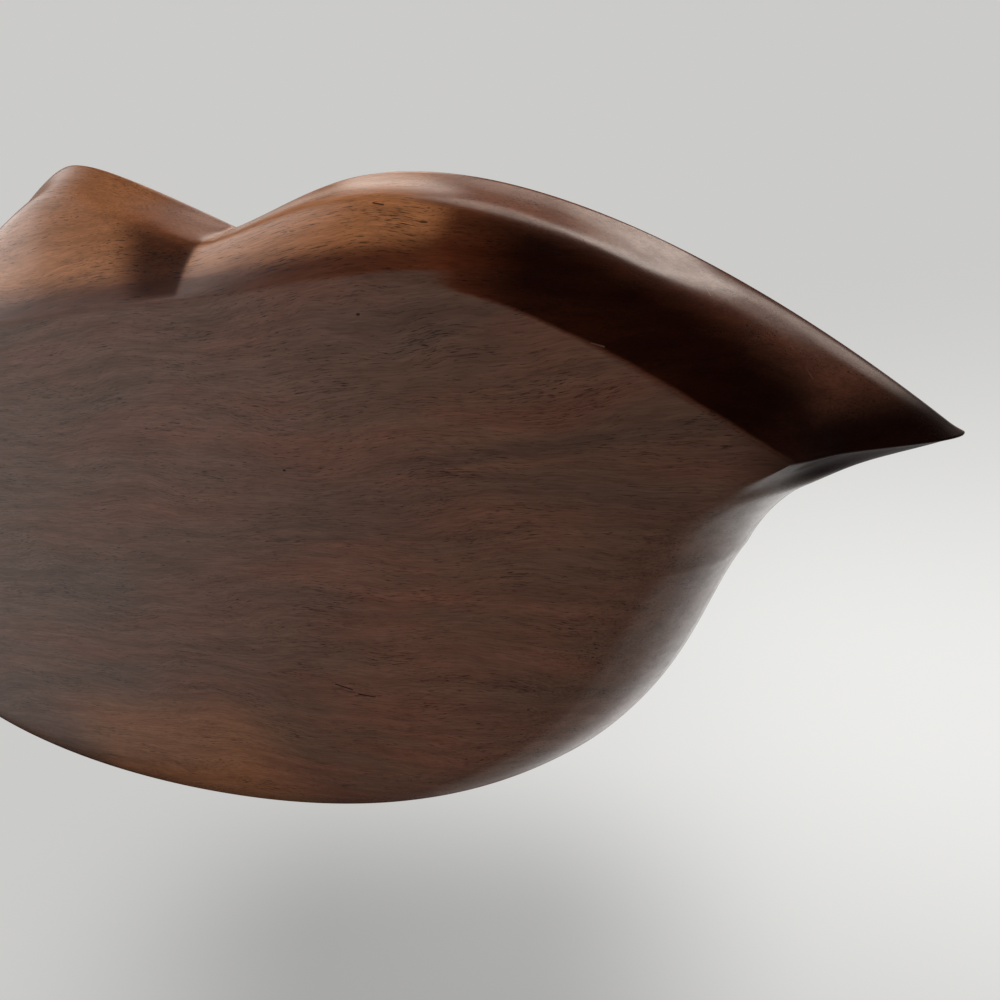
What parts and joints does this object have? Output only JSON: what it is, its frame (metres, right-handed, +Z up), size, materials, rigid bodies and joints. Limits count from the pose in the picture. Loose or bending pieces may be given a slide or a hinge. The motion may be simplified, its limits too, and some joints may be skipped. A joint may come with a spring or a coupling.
{
  "type": "divided serving tray",
  "caption": "Carved wooden serving tray with a pointed middle lobe, two winged ends, a flat foot and hollowed compartments between rounded ridges.",
  "frame": {"origin": "middle of the bounding box at the level of the flat foot, so the tray stands on z = 0", "axes": "+X from wing tip to wing tip, +Y towards the pointed middle lobe, +Z up out of the compartments"},
  "size_m": [0.5076, 0.242, 0.031],
  "materials": {
    "carved_wood": "dark red-brown carved wood with fine dark pores under a satin lacquer, golden where the side grain catches the light"
  },
  "bodies": {
    "root": {"tray_body": "carved_wood"}
  },
  "joints": []
}
